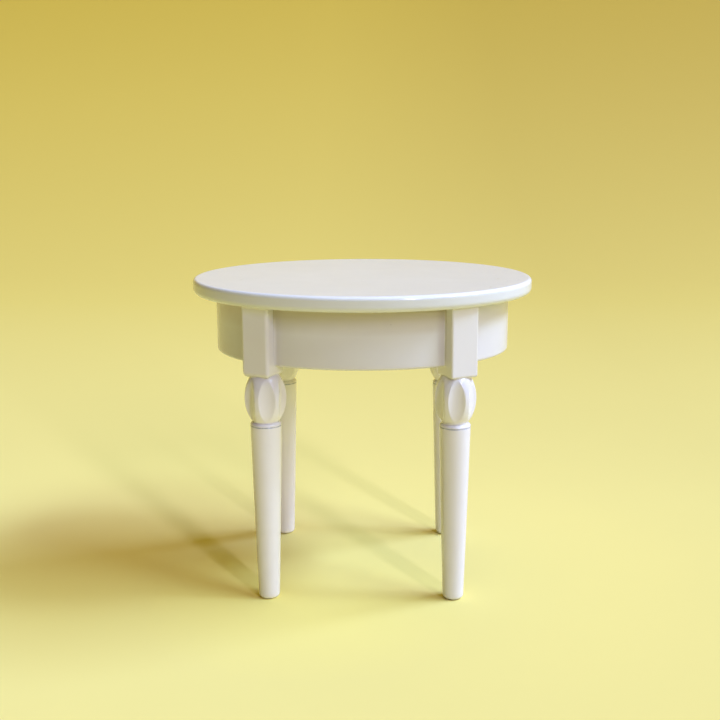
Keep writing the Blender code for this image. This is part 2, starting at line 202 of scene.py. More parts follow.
def cylinder_cutter(radius, start, end):
    bm = bmesh.new()
    axis = end - start
    bmesh.ops.create_cone(bm, cap_ends=True, cap_tris=False, segments=32,
                          radius1=radius, radius2=radius, depth=axis.length)
    turn = axis.to_track_quat("Z", "Y").to_matrix().to_4x4()
    bmesh.ops.transform(bm, matrix=Matrix.Translation((start + end) / 2) @ turn, verts=bm.verts)
    return add_object("socket", bmesh_to_mesh("socket", bm))


def peg_line(node):
    """Axis ends and radius of a CAD peg, read from its points."""
    points = np.array([vert.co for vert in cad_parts[node].data.vertices], float)
    centre = points.mean(0)
    _, _, axes = np.linalg.svd(points - centre, full_matrices=False)
    along = (points - centre) @ axes[0]
    across = np.linalg.norm((points - centre) - np.outer(along, axes[0]), axis=1)
    start = Vector(centre + axes[0] * along.min())
    end = Vector(centre + axes[0] * along.max())
    return start, end, float(across.max())


def rail_peg_socket(node, point, start_room, end_room, far_first=False):
    """Cutter for a rail peg, from its end nearest a point, or from the far end."""
    start, end, radius = peg_line(node)
    start, end = sorted((start, end), key=lambda tip: (tip - point).to_2d().length,
                        reverse=far_first)
    way = (end - start).normalized()
    return cylinder_cutter(radius + SOCKET_PLAY, start - way * start_room, end + way * end_room)


def top_peg_socket(leg, in_top):
    """Cutter for the upright peg over a leg, for the top or for the leg."""
    peg_low, peg_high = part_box(f"top_peg_{leg}")
    middle = (peg_low + peg_high) / 2
    if in_top:
        low, high = TOP_UNDER - SOCKET_OPEN, peg_high.z + SOCKET_SPARE
    else:
        low, high = peg_low.z - SOCKET_SPARE, peg_high.z + SOCKET_OPEN
    return cylinder_cutter((peg_high.x - peg_low.x) / 2 + SOCKET_PLAY,
                           Vector((middle.x, middle.y, low)),
                           Vector((middle.x, middle.y, high)))


def apply_booleans(obj, steps):
    """Applies (cutter, operation) in turn and removes the cutters."""
    for cutter, operation in steps:
        mod = obj.modifiers.new("cut", "BOOLEAN")
        mod.solver = "MANIFOLD"
        mod.operation = operation
        mod.object = cutter
    bpy.context.view_layer.update()
    graph = bpy.context.evaluated_depsgraph_get()
    mesh = bpy.data.meshes.new_from_object(obj.evaluated_get(graph))
    old = obj.data
    obj.modifiers.clear()
    mesh.name = obj.name
    obj.data = mesh
    bpy.data.meshes.remove(old)
    for cutter, _ in steps:
        data = cutter.data
        bpy.data.objects.remove(cutter, do_unlink=True)
        bpy.data.meshes.remove(data)


def finish_piece(obj, material, node):
    """Gives a piece its material and shading, parents it to the root body and hides its CAD
    node.
    """
    mesh = obj.data
    mesh.materials.clear()
    mesh.materials.append(material)
    mesh.shade_smooth()
    mesh.set_sharp_from_angle(angle=math.radians(32.0))
    mod = obj.modifiers.new("flat_faces_stay_flat", "WEIGHTED_NORMAL")
    mod.mode = "FACE_AREA"
    mod.weight = 50
    mod.keep_sharp = True
    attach(obj, "root")
    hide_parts(node)


# ----------------------------------------------------------- node helpers
class Nodes:
    """Builds a node tree in readable steps; each step returns an output socket."""

    def __init__(self, tree):
        self.tree = tree
        tree.nodes.clear()

    def add(self, kind, inputs=None, **settings):
        """Adds a node; inputs maps sockets to values or to sockets to link."""
        node = self.tree.nodes.new(kind)
        for key, value in settings.items():
            setattr(node, key, value)
        for key, content in (inputs or {}).items():
            self.fill(node.inputs[key], content)
        return node

    def link(self, source, target):
        self.tree.links.new(source, target)

    def fill(self, socket, content):
        if isinstance(content, bpy.types.NodeSocket):
            self.link(content, socket)
        elif isinstance(content, tuple):
            needs_alpha = len(content) == 3 and len(socket.default_value) == 4
            socket.default_value = content + ((1.0,) if needs_alpha else ())
        else:
            socket.default_value = content

    def math(self, operation, a, b=None, clamp=False):
        inputs = {0: a} if b is None else {0: a, 1: b}
        node = self.add("ShaderNodeMath", inputs, operation=operation, use_clamp=clamp)
        return node.outputs[0]

    def times(self, a, b):
        return self.math("MULTIPLY", a, b)

    def plus(self, a, b):
        return self.math("ADD", a, b)

    def noise(self, vector, scale, detail=3.0, roughness=0.5, distortion=0.0):
        return self.add("ShaderNodeTexNoise", {
            "Vector": vector, "Scale": scale, "Detail": detail,
            "Roughness": roughness, "Distortion": distortion}).outputs["Fac"]

    def ramp(self, factor, low, high, out_low=0.0, out_high=1.0):
        return self.add("ShaderNodeMapRange", {
            "Value": factor, "From Min": low, "From Max": high,
            "To Min": out_low, "To Max": out_high}, clamp=True).outputs["Result"]

    def mix(self, factor, a, b, blend="MIX"):
        return self.add("ShaderNodeMix", {0: factor, 6: a, 7: b},
                        data_type="RGBA", blend_type=blend).outputs[2]

    def distance(self, vector, point):
        return self.add("ShaderNodeVectorMath", {0: vector, 1: point},
                        operation="DISTANCE").outputs["Value"]

    def axes(self, vector):
        return self.add("ShaderNodeSeparateXYZ", {0: vector}).outputs

    def stretch(self, vector, scale):
        return self.add("ShaderNodeMapping", {"Vector": vector, "Scale": scale}).outputs[0]

    def occlusion(self, distance, samples):
        return self.add("ShaderNodeAmbientOcclusion", {"Distance": distance},
                        samples=samples, inside=False, only_local=False).outputs["AO"]

    def bump(self, height, normal=None):
        """A bump whose height is in metres."""
        inputs = {"Distance": 1.0, "Height": height}
        if normal is not None:
            inputs["Normal"] = normal
        return self.add("ShaderNodeBump", inputs).outputs[0]


def start_material(name):
    """A material with its output and shader; also returns object coordinates."""
    material = bpy.data.materials.new(name)
    material.use_nodes = True
    n = Nodes(material.node_tree)
    out = n.add("ShaderNodeOutputMaterial")
    shader = n.add("ShaderNodeBsdfPrincipled")
    n.link(shader.outputs[0], out.inputs[0])
    coord = n.add("ShaderNodeTexCoord").outputs["Object"]
    return material, n, shader, coord


def tinted(colour, tint):
    return tuple(c * t for c, t in zip(colour, tint))


# ---------------------------------------------------------------- lacquer
def ivory_tone(n, at, tint, relief):
    """Ivory with slow drifts, faint cooler clouds and small stains."""
    slow = n.ramp(n.noise(at, scale=70.0, roughness=0.55), low=0.36, high=0.66)
    cloud = n.ramp(n.noise(at, scale=210.0, detail=4.0, roughness=0.6), low=0.45, high=0.75)
    colour = n.mix(n.times(slow, relief), tinted((0.785, 0.778, 0.756), tint),
                   tinted((0.776, 0.764, 0.731), tint))
    colour = n.mix(n.times(cloud, 0.3 * relief), colour, tinted((0.778, 0.780, 0.771), tint))
    stain = n.ramp(n.noise(at, scale=420.0, detail=2.0, distortion=0.4),
                   low=0.68, high=0.82, out_high=0.07)
    return n.mix(stain, colour, tinted((0.60, 0.58, 0.46), tint))


def painted_light_by_height(n, coord, colour, start, full, painted_light_band):
    """Painted light or shade by height: multiplies in a colour that sets in at one height and
    is full at another.
    """
    rising = start < full
    share = n.ramp(n.axes(coord)["Z"], low=min(start, full), high=max(start, full),
                   out_low=0.0 if rising else 1.0, out_high=1.0 if rising else 0.0)
    return n.mix(share, colour, painted_light_band, "MULTIPLY")


def painted_groove_reflection(n, coord, at, colour, groove):
    """A patchy slate-blue line painted at the fine groove's height: a painted dark reflection
    on the shoulder.
    """
    off = n.math("ABSOLUTE", n.math("SUBTRACT", n.axes(coord)["Z"], groove))
    patchy = n.ramp(n.noise(at, scale=1100.0, roughness=0.6),
                    low=0.36, high=0.58, out_low=0.35, out_high=0.85)
    painted_reflection_line = n.ramp(off, low=0.06 * MM, high=0.17 * MM, out_low=1.0, out_high=0.0)
    return n.mix(n.times(painted_reflection_line, patchy), colour, (0.33, 0.37, 0.46))


def lacquer_marks(n, coord, at, marks):
    """Dark marks at set places, with a sparse scatter of dust specks.

    Returns all of them together, and the scatter alone.
    """
    total = None
    for place, radius, strength in marks:
        wobble = n.times(n.noise(at, scale=5200.0, detail=2.0, roughness=0.6), radius * 0.9)
        reach = n.plus(n.distance(coord, place), wobble)
        spot = n.ramp(reach, low=radius * 0.95, high=radius * 1.75,
                      out_low=strength, out_high=0.0)
        total = spot if total is None else n.math("MAXIMUM", total, spot)
    cells = n.add("ShaderNodeTexVoronoi", {"Vector": at, "Scale": 260.0},
                  feature="F1", voronoi_dimensions="3D")
    dot = n.ramp(cells.outputs["Distance"], low=0.018, high=0.036, out_low=1.0, out_high=0.0)
    pick = n.add("ShaderNodeSeparateColor", {0: cells.outputs["Color"]})
    rare = n.math("GREATER_THAN", pick.outputs[0], 0.90)
    scatter = n.times(dot, rare)
    faint = n.times(scatter, 0.35)
    total = faint if total is None else n.math("MAXIMUM", total, faint)
    return total, scatter


def lacquer(name, *, tint, gloss, seed, crease_shade, grain, marks=(), corner_shade=0.0, relief=1.0,
            painted_light_band=None, groove=None, arris_radius=0.18 * MM):
    """Ivory lacquer over wood.

    gloss is the mean roughness, the crease amount the painted shade in creases, the
    corner amount the painted shade in wide corners, grain the stretch of the wood's relief,
    relief the strength of all unevenness, the height band a (start, full, colour) that paints
    light or shade over the height, groove the height of a painted dark reflection line.
    """
    material, n, shader, coord = start_material(name)
    shift = n.add("ShaderNodeVectorMath",
                  {0: coord, 1: (seed * 0.13, seed * 0.29, seed * 0.07)}, operation="ADD")
    at = shift.outputs[0]

    colour = ivory_tone(n, at, tint, relief)
    # painted light or shade by height, and a painted dark reflection line at a groove
    if painted_light_band:
        colour = painted_light_by_height(n, coord, colour, *painted_light_band)
    if groove:
        colour = painted_groove_reflection(n, coord, at, colour, groove)

    # painted shade: creases and wide corners darkened by occlusion towards a shaded olive
    crease = n.ramp(n.occlusion(distance=0.55 * MM, samples=6),
                    low=0.15, high=0.70, out_low=0.16 * crease_shade, out_high=0.0)
    colour = n.mix(crease, colour, (0.52, 0.45, 0.26))
    painted_corner_shade = n.ramp(n.occlusion(distance=5.0 * MM, samples=8),
                    low=0.30, high=0.95, out_low=0.50 * corner_shade, out_high=0.0)
    colour = n.mix(painted_corner_shade, colour, (0.48, 0.41, 0.25))

    # arrises: paint pulled thin, a trace warmer
    bevel = n.add("ShaderNodeBevel", {"Radius": arris_radius}, samples=6).outputs[0]
    normal = n.add("ShaderNodeNewGeometry").outputs["Normal"]
    facing = n.add("ShaderNodeVectorMath", {0: bevel, 1: normal}, operation="DOT_PRODUCT")
    arris = n.ramp(facing.outputs["Value"], low=0.995, high=0.86)
    worn = n.ramp(n.noise(at, scale=900.0, roughness=0.6), low=0.42, high=0.70, out_high=0.30)
    colour = n.mix(n.times(arris, worn), colour, tinted((0.70, 0.655, 0.52), tint))

    spots, scatter = lacquer_marks(n, coord, at, marks)
    n.fill(shader.inputs["Base Color"], n.mix(spots, colour, (0.16, 0.14, 0.10)))

    # sheen: even gloss with slightly duller patches
    patch = n.ramp(n.noise(at, scale=90.0, roughness=0.55, distortion=0.2),
                   low=0.36, high=0.72, out_low=gloss * (1.0 - 0.15 * relief),
                   out_high=gloss * (1.0 + 0.30 * relief))
    fine = n.times(n.noise(at, scale=2600.0, detail=2.0), 0.02)
    rough = n.plus(n.plus(patch, fine), n.times(crease, 0.5))
    n.fill(shader.inputs["Roughness"], n.plus(rough, n.times(spots, 0.3)))
    shader.inputs["IOR"].default_value = 1.48
    shader.inputs["Coat Weight"].default_value = 0.30
    coat_rough = n.ramp(n.noise(at, scale=300.0, roughness=0.6),
                        low=0.3, high=0.7, out_low=0.05, out_high=0.12)
    n.fill(shader.inputs["Coat Roughness"], coat_rough)
    shader.inputs["Coat IOR"].default_value = 1.5

    # relief: wood grain showing through, orange peel, dust nibs and sunken marks
    through = n.noise(n.stretch(at, grain), scale=520.0, roughness=0.55)
    peel = n.noise(at, scale=1500.0, detail=2.0)
    height = n.plus(n.times(through, 0.0045 * MM * relief), n.times(peel, 0.0022 * MM * relief))
    height = n.plus(height, n.times(scatter, 0.012 * MM))
    if marks:
        height = n.math("SUBTRACT", height, n.times(spots, 0.03 * MM))
    bump = n.bump(height, normal=bevel)
    n.fill(shader.inputs["Normal"], bump)
    n.fill(shader.inputs["Coat Normal"], bump)
    return material


def bare_beech(name):
    """Unfinished beech: straight upright grain with short darker flecks."""
    material, n, shader, coord = start_material(name)
    at = n.stretch(coord, (1.0, 1.0, 0.25))
    grain = n.noise(at, scale=2400.0, detail=5.0, roughness=0.6, distortion=0.6)
    fleck = n.ramp(n.noise(at, scale=6400.0, detail=2.0), low=0.60, high=0.72, out_high=0.5)
    colour = n.mix(n.ramp(grain, low=0.35, high=0.65), (0.66, 0.47, 0.30), (0.52, 0.35, 0.20))
    n.fill(shader.inputs["Base Color"], n.mix(fleck, colour, (0.36, 0.22, 0.12)))
    n.fill(shader.inputs["Roughness"],
           n.ramp(grain, low=0.3, high=0.7, out_low=0.55, out_high=0.75))
    n.fill(shader.inputs["Normal"], n.bump(n.times(grain, 0.02 * MM)))
    return material


# dark marks: place, radius, strength
TOP_MARKS = (
    ((0.0277, -0.0045, 0.0630), 0.42 * MM, 0.80),
    ((0.0290, -0.0078, 0.0630), 0.30 * MM, 0.60),
    ((0.0314, -0.0060, 0.0630), 0.30 * MM, 0.50),
    ((0.0252, -0.0162, 0.0629), 0.34 * MM, 0.85),
    ((0.0322, -0.0105, 0.0612), 0.20 * MM, 0.80),
    ((0.0005, -0.0080, 0.0630), 0.36 * MM, 0.35),
    ((-0.0245, -0.0060, 0.0630), 0.36 * MM, 0.30),
)
RAIL_MARKS = (
    ((0.0060, -0.0243, 0.0570), 0.13 * MM, 0.60),
    ((-0.0120, -0.0232, 0.0562), 0.15 * MM, 0.25),
    ((0.0140, -0.0220, 0.0493), 0.17 * MM, 0.55),
)
# rail: strength of the painted shade in wide corners, and the painted shadow colour multiplied
# in under the top
RAIL_PAINTED_SHADE = {
    "front": (0.8, (0.77, 0.71, 0.60)),
    "left": (1.0, (0.86, 0.80, 0.72)),
    "right": (0.0, None),
    "back": (0.6, None),
}


def rail_paint(rail):
    corner_shade, painted_shadow_under_top = RAIL_PAINTED_SHADE[rail]
    # painted shadow under the top, multiplied into the rail's colour
    painted_light_band = painted_shadow_under_top and (TOP_UNDER - 5.2 * MM, TOP_UNDER - 1.8 * MM, painted_shadow_under_top)
    return lacquer(f"rail_{rail}_ivory_lacquer", tint=(0.915, 0.903, 0.915), gloss=0.17,
                   seed=2.0, crease_shade=0.9, grain=(0.5, 0.5, 2.0), marks=RAIL_MARKS,
                   corner_shade=corner_shade, painted_light_band=painted_light_band, arris_radius=0.0)


def leg_paint(leg, index):
    painted_light_gain, drop = LEGS[leg].painted_light_gain, LEGS[leg].drop
    return lacquer(f"leg_{leg}_ivory_lacquer", tint=(0.995, 0.98, 0.985), gloss=0.16,
                   seed=3.0 + index, crease_shade=1.0, grain=(1.6, 1.6, 0.4),
                   # painted light: the egg and shank lighter than the head, by each leg's gain
                   painted_light_band=(HEAD_LOW, HEAD_LOW - 9 * MM, (painted_light_gain, painted_light_gain, painted_light_gain * 1.01)),
                   # painted reflection: a slate-blue line at the groove under the shoulder
                   groove=SHANK_TOP - drop - SHANK_SHOULDER - 0.11 * MM)


# painted light: the flat face lighter than the rounded edge and rim side below it
TOP_PAINT = lacquer(
    "top_ivory_lacquer", tint=(0.905, 0.936, 0.935), gloss=0.15, seed=1.0, crease_shade=0.6,
    grain=(0.35, 1.6, 1.6), marks=TOP_MARKS, relief=0.5,
    painted_light_band=(TOP_FACE - 0.9 * MM, TOP_FACE - 0.2 * MM, (1.243, 1.282, 1.318)))
RAIL_PAINT = {rail: rail_paint(rail) for rail in RAIL_PAINTED_SHADE}
LEG_PAINT = {leg: leg_paint(leg, i) for i, leg in enumerate(LEGS)}
BLOCK_PAINT = lacquer("block_ivory_lacquer", tint=(0.97, 0.96, 0.94), gloss=0.42, seed=8.0,
                      crease_shade=1.0, grain=(0.6, 2.0, 2.0))
BEECH = bare_beech("bare_beech")


# -------------------------------------------------------------------- top
def oval_point(turn, half_x, half_y, inward, z):
    """A point on an oval, moved inward along its normal."""
    x, y = half_x * math.cos(turn), half_y * math.sin(turn)
    normal_x, normal_y = half_y * math.cos(turn), half_x * math.sin(turn)
    length = math.hypot(normal_x, normal_y)
    return Vector((x - inward * normal_x / length, y - inward * normal_y / length, z))


def oval_normal(turn, half_x, half_y):
    return Vector((half_y * math.cos(turn), half_x * math.sin(turn), 0.0)).normalized()


def even_angles(half_x, half_y, count):
    """Oval parameters that give steps of equal length."""
    fine = np.linspace(0.0, TAU, 7201)
    x, y = half_x * np.cos(fine), half_y * np.sin(fine)
    run = np.concatenate([[0.0], np.cumsum(np.hypot(np.diff(x), np.diff(y)))])
    return np.interp(np.linspace(0.0, run[-1], count, endpoint=False), run, fine)


TOP_ANGLES = even_angles(TOP_A, TOP_B, 320)


def top_ring(inward, z, scale=1.0, drift=0.022 * MM):
    """A ring round the top; the hand-sanded edge wanders by a few hundredths."""
    points = []
    for turn in TOP_ANGLES:
        point = oval_point(turn, TOP_A, TOP_B, inward, z)
        point.x *= scale
        point.y *= scale
        wander = drift * fbm(point, 11.0 * MM, 1.0)
        points.append(point - oval_normal(turn, TOP_A, TOP_B) * abs(wander))
    return points


def build_top():
    # (inward, z) up the edge: lower rounding, upright side, upper rounding
    lower = [(TOP_ROUND_LOW * (1 - math.cos(a)), TOP_UNDER + TOP_ROUND_LOW * (1 - math.sin(a)))
             for a in np.linspace(math.pi / 2, 0.0, 13)]
    upper = [(TOP_ROUND_HIGH * (1 - math.cos(a)), TOP_FACE - TOP_ROUND_HIGH * (1 - math.sin(a)))
             for a in np.linspace(0.0, math.pi / 2, 13)]
    side_low, side_high = lower[-1][1], upper[0][1]
    side = [(0.0, side_low + (side_high - side_low) * k / 4) for k in (1, 2, 3)]

    border = 4.0 * MM                      # width of the rings next to the edge
    scales = (0.04, 0.3, 0.6, 0.85)        # sizes of the rings inside the border
    rings = [top_ring(border, TOP_UNDER, scale, drift=0.0) for scale in scales]
    rings += [top_ring(inward, TOP_UNDER) for inward in (border, 2.4 * MM, 1.6 * MM)]
    rings += [top_ring(inward, z) for inward, z in lower + side + upper]
    rings += [top_ring(inward, TOP_FACE) for inward in (1.3 * MM, 2.0 * MM, border)]
    rings += [top_ring(border, TOP_FACE, scale, drift=0.0) for scale in reversed(scales)]
    # the face is flat to a hundredth or so, never above the real height
    for ring in rings:
        for point in ring:
            if point.z > TOP_FACE - 0.02 * MM:
                point.z -= 0.010 * MM * (0.5 + 0.5 * fbm(point, 16.0 * MM, 3.0))

    obj = ring_solid("table_top_board", rings)
    apply_booleans(obj, [(top_peg_socket(leg, in_top=True), "DIFFERENCE") for leg in LEGS])
    finish_piece(obj, TOP_PAINT, "table_top")


build_top()


# ------------------------------------------------------------------- legs
def egg_radius(z):
    u = (z - EGG_MID) / EGG_HALF
    return EGG_RADIUS * math.sqrt(max(0.0, 1.0 - u * u))


def smooth_min(a, b, width):
    near = max(width - abs(a - b), 0.0) / width
    return min(a, b) - near * near * width * 0.25


def leg_rows(drop):
    """(radius, height, part) down the turning, from inside the head to the floor."""
    rows = [(2.10 * MM, HEAD_LOW + 1.0 * MM, "neck"), (2.45 * MM, HEAD_LOW + 0.4 * MM, "neck")]
    count = 84
    for i in range(count + 1):
        # closer rows near the ends, where the hollows run out
        share = i / count
        share = share - 0.20 * math.sin(TAU * share) / TAU
        z = EGG_TOP + (EGG_LOW - EGG_TOP) * share
        rows.append((egg_radius(z), z, "egg"))

    # the narrow crease between egg and shoulder
    edge = egg_radius(EGG_LOW)
    crease = SHANK_TOP - drop
    rows += [(edge - 0.03 * MM, EGG_LOW - 0.04 * MM, "neck"),
             (edge - 0.05 * MM, (EGG_LOW + crease) / 2 - 0.02 * MM, "neck"),
             (edge - 0.055 * MM, crease + 0.03 * MM, "neck"),
             (edge - 0.035 * MM, crease - 0.006 * MM, "neck")]

    # the rounded shoulder
    round_r, round_z = SHANK_R_TOP - SHANK_SHOULDER, crease - SHANK_SHOULDER
    first = math.acos((edge + 0.02 * MM - round_r) / SHANK_SHOULDER)
    for a in np.linspace(first, 0.0, 12):
        rows.append((round_r + SHANK_SHOULDER * math.cos(a),
                     round_z + SHANK_SHOULDER * math.sin(a), "shank"))
    # a fine groove turned just under the shoulder
    for down, deep in ((0.04, 0.03), (0.09, 0.09), (0.14, 0.09), (0.20, 0.02)):
        rows.append((SHANK_R_TOP - deep * MM, round_z - down * MM, "shank"))
    # the tapered shank, very slightly swollen
    for i in range(1, 36):
        share = i / 36
        z = round_z + (FOOT_ROUND - round_z) * share
        radius = SHANK_R_TOP + (SHANK_R_FOOT - SHANK_R_TOP) * share
        rows.append((radius + 0.03 * MM * math.sin(math.pi * share), z, "shank"))
    # the rounded foot and its flat underside
    foot_flat = SHANK_R_FOOT - FOOT_ROUND
    for a in np.linspace(0.0, math.radians(-90.0), 12):
        rows.append((foot_flat + FOOT_ROUND * math.cos(a),
                     FOOT_ROUND + FOOT_ROUND * math.sin(a), "shank"))
    rows.append((foot_flat * 0.5, 0.0, "foot"))
    rows.append((foot_flat * 0.08, 0.0, "foot"))
    return rows


def hollow_depth(z):
    u = abs(z - HOLLOW_MID) / HOLLOW_HALF
    return HOLLOW_DEPTH * (1.0 - u * u) ** 1.25 if u < 1.0 else 0.0


def hollow_half_angle(radius, depth):
    """Half the angle a hollow spans where its cutter dips by `depth` into the egg."""
    if depth <= 1e-9:
        return 0.0
    away = radius - depth + HOLLOW_RADIUS
    cosine = (radius * radius + away * away - HOLLOW_RADIUS ** 2) / (2 * radius * away)
    return math.acos(max(-1.0, min(1.0, cosine)))


def carved_radius(radius, depth, angle):
    """The egg's radius at an angle from a hollow's middle."""
    if depth > 1e-9 and abs(angle) < SECTOR / 2:
        away = radius - depth + HOLLOW_RADIUS
        square = HOLLOW_RADIUS ** 2 - (away * math.sin(angle)) ** 2
        if square > 0:
            carved = away * math.cos(angle) - math.sqrt(square)
            return smooth_min(radius, carved, 0.10 * MM)
    return radius


# column places across one sector, as shares: of the hollow's half angle, of the land
INSIDE = [-0.97, -0.90, -0.78, -0.6, -0.4, -0.2, 0.0, 0.2, 0.4, 0.6, 0.78, 0.90, 0.97]
LAND = [0.0, 0.10, 0.24, 0.42, 0.58, 0.76, 0.90, 1.0]


def sector_angles(half):
    """Angles from a hollow's middle: across the hollow, then over the land."""
    half = max(half, math.radians(2.5))
    inside = [share * half for share in INSIDE]
    land = [half + (SECTOR - 2 * half) * share for share in LAND]
    return inside + land


def column_half_angle(radius, z, depth, part):
    """The half angle the hollow's columns take; it widens to even steps downwards."""
    if part == "egg":
        return hollow_half_angle(radius, depth)
    if part == "shank":
        share = min(1.0, max(0.0, (SHANK_TOP - z) / (3.0 * MM)))
        return math.radians(3.0) + math.radians(18.5) * share
    return math.radians(3.0 if part == "neck" else 22.0)


def leg_ring(radius, z, part, leg, index):
    place = LEG_AT[leg]
    depth = hollow_depth(z) if part == "egg" else 0.0
    columns = sector_angles(column_half_angle(radius, z, depth, part))
    points = []
    for sector in range(HOLLOWS):
        for offset in columns:
            reach = carved_radius(radius, depth, offset)
            angle = -math.pi / 2 + LEGS[leg].hollow_turn + sector * SECTOR + offset
            point = Vector((reach * math.cos(angle), reach * math.sin(angle), z))
            if part != "foot":
                wander = 0.018 * MM * fbm(point + place, 5.0 * MM, 4.0 + index)
                point.x += math.cos(angle) * wander
                point.y += math.sin(angle) * wander
            points.append(point + place)
    return points


def head_object(leg):
    """The square head, its uprights eased and its lower edge rounded."""
    shape = LEGS[leg]
    high = TOP_UNDER - CLOSE
    bm = box_bmesh((shape.side, shape.side, high - HEAD_LOW), (0, 0, (high + HEAD_LOW) / 2))
    uprights = [e for e in bm.edges if abs(e.verts[0].co.z - e.verts[1].co.z) > 1e-6]
    bmesh.ops.bevel(bm, geom=uprights, offset=shape.upright_round, segments=8,
                    profile=0.5, affect="EDGES")
    rim = [e for e in bm.edges if all(abs(v.co.z - HEAD_LOW) < 1e-7 for v in e.verts)]
    bmesh.ops.bevel(bm, geom=rim, offset=shape.rim_round, segments=8,
                    profile=0.5, affect="EDGES")
    head = add_object("head", bmesh_to_mesh("head", bm))
    head.data.transform(head_frame(leg))
    return head


def build_leg(leg, index):
    rings = [leg_ring(radius, z, part, leg, index)
             for radius, z, part in leg_rows(LEGS[leg].drop)]
    obj = ring_solid(f"turned_leg_{leg}", rings)
    steps = [(head_object(leg), "UNION")]
    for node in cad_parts:
        if node.startswith("rail_peg_") and node.endswith("_to_" + leg):
            socket = rail_peg_socket(node, LEG_AT[leg], SOCKET_SPARE, SOCKET_OPEN)
            steps.append((socket, "DIFFERENCE"))
    steps.append((top_peg_socket(leg, in_top=False), "DIFFERENCE"))
    apply_booleans(obj, steps)
    finish_piece(obj, LEG_PAINT[leg], f"leg_{leg}")


for i, leg in enumerate(LEGS):
    build_leg(leg, i)


# ------------------------------------------------------------------ rails
def head_room(leg):
    """A cutter that clears a rail's end for the head."""
    side = LEGS[leg].side + 2 * CLOSE
    bm = box_bmesh((side + 8.0 * MM, side, 20.0 * MM), (0, 0, 54.0 * MM))
    room = add_object("head_room", bmesh_to_mesh("head_room", bm))
    room.data.transform(head_frame(leg))
    return room


def rail_section():
    """(inward, z) round the rail's section: outer face, lower edge, inner face, top."""
    high = TOP_UNDER - CLOSE
    ease = 0.12 * MM
    r = RAIL_ROUND
    points = [(0.0, high - down) for down in (ease, 3.0 * MM, 6.0 * MM, 9.0 * MM)]
    points += [(r - r * math.cos(a), APRON_LOW + r - r * math.sin(a))
               for a in np.linspace(0.0, math.pi / 2, 9)]
    points += [(RAIL_THICK - r + r * math.sin(a), APRON_LOW + r - r * math.cos(a))
               for a in np.linspace(0.0, math.pi / 2, 7)]
    points += [(RAIL_THICK, high - 6.0 * MM), (RAIL_THICK, high - ease),
               (RAIL_THICK - ease, high), (ease, high)]
    return points


def face_move(point, normal, along, corners):
    """How far the rail's outer face moves out (or in, below zero) beside the heads."""
    dip = 0.0
    for inverse, shape in corners:
        gap = max(0.0, abs((inverse @ point).y) - shape.side / 2)
        dip = max(dip, shape.pare * max(0.0, 1.0 - gap / PARE_REACH) ** 2)
    point = point - normal * dip
    lift = 0.0
    for inverse, shape in corners:
        pool = shape.pool
        at = inverse @ point
        way = inverse.to_3x3() @ along
        if way.y * at.y < 0:
            way = -way
        # a curve that leaves the rail and runs up the head's face
        lean = pool * min(way.x, -0.02)
        run = (abs(at.y) - shape.side / 2) / max(0.2, abs(way.y))
        if run < pool:
            share = 0.0
            if run > lean:
                root = math.sqrt(lean * lean + (pool + lean) * (run - lean))
                share = (lean + root) / (pool + lean)
            lift = max(lift, (1.0 - share) ** 2 * pool * abs(way.y))
    return lift - dip


def rail_turns(first_leg, last_leg):
    """Even steps along the rail, and fine ones where it meets the heads."""
    start, end = (math.atan2(LEG_AT[leg].y / APRON_B, LEG_AT[leg].x / APRON_A) % TAU
                  for leg in (first_leg, last_leg))
    if end < start:
        end += TAU
    fine = np.arange(1.8 * MM, 5.6 * MM, 0.06 * MM) / APRON_A
    return sorted({round(float(turn), 6) for turn in
                   (*np.linspace(start, end, 200), *(start + fine), *(end - fine))})


def build_rail(rail, first_leg, last_leg):
    section = rail_section()
    corners = [(head_frame(leg).inverted(), LEGS[leg]) for leg in (first_leg, last_leg)]
    rings = []
    for turn in rail_turns(first_leg, last_leg):
        normal = oval_normal(turn, APRON_A, APRON_B)
        along = Vector((-normal.y, normal.x, 0.0))
        move = face_move(oval_point(turn, APRON_A, APRON_B, 0.0, 0.0), normal, along, corners)
        ring = []
        for inward, z in section:
            point = oval_point(turn, APRON_A, APRON_B, inward, z)
            # the move fades out from the outer face inward
            outer = max(0.0, 1.0 - inward / (1.4 * MM))
            wander = abs(0.020 * MM * fbm(point, 9.0 * MM, 7.0))
            ring.append(point - normal * wander + normal * move * outer)
        rings.append(ring)
    obj = ring_solid(f"apron_board_{rail}", rings)

    steps = [(head_room(leg), "DIFFERENCE") for leg in (first_leg, last_leg)]
    middle = (RAIL_BOX[rail][0] + RAIL_BOX[rail][1]) / 2
    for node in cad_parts:
        if node.startswith(f"rail_peg_{rail}_to_"):
            socket = rail_peg_socket(node, middle, RAIL_SOCKET_OPEN, SOCKET_SPARE,
                                     far_first=True)
            steps.append((socket, "DIFFERENCE"))
    apply_booleans(obj, steps)
    finish_piece(obj, RAIL_PAINT[rail], f"apron_rail_{rail}")


build_rail("front", "front_left", "front_right")
build_rail("right", "front_right", "back_right")
build_rail("back", "back_right", "back_left")
build_rail("left", "back_left", "front_left")


